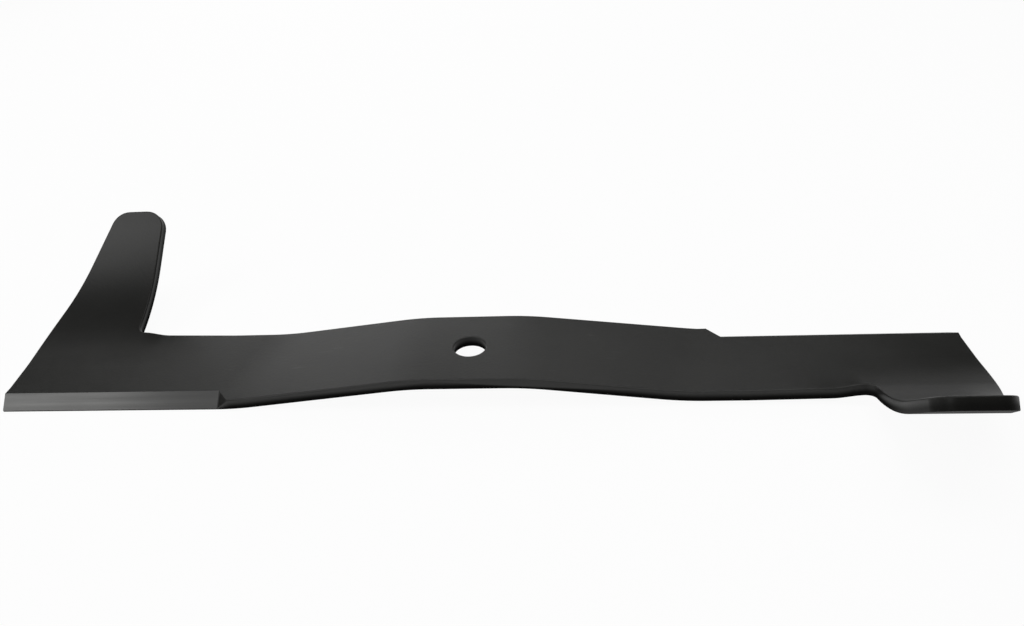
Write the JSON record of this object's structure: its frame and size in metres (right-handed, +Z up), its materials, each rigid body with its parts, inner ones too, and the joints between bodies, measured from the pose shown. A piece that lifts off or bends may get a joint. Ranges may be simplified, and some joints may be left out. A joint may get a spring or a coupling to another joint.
{
  "type": "rotary mower blade",
  "caption": "Rotary mower blade: a flat steel bar with a raised bored hub, sloping arms, ground cutting edges and curled-up wings that lift and throw the clippings.",
  "frame": {"origin": "on the spindle axis, at the level of the two cutting edges that the blade lies on", "axes": "+X along the blade, +Z up along the spindle axis, away from the grass"},
  "size_m": [0.55, 0.2126, 0.0621],
  "materials": {
    "blade_paint": "satin black paint over spring steel, with a ground grey bevel on each cutting edge"
  },
  "bodies": {
    "root": {"blade": "blade_paint"}
  },
  "joints": []
}
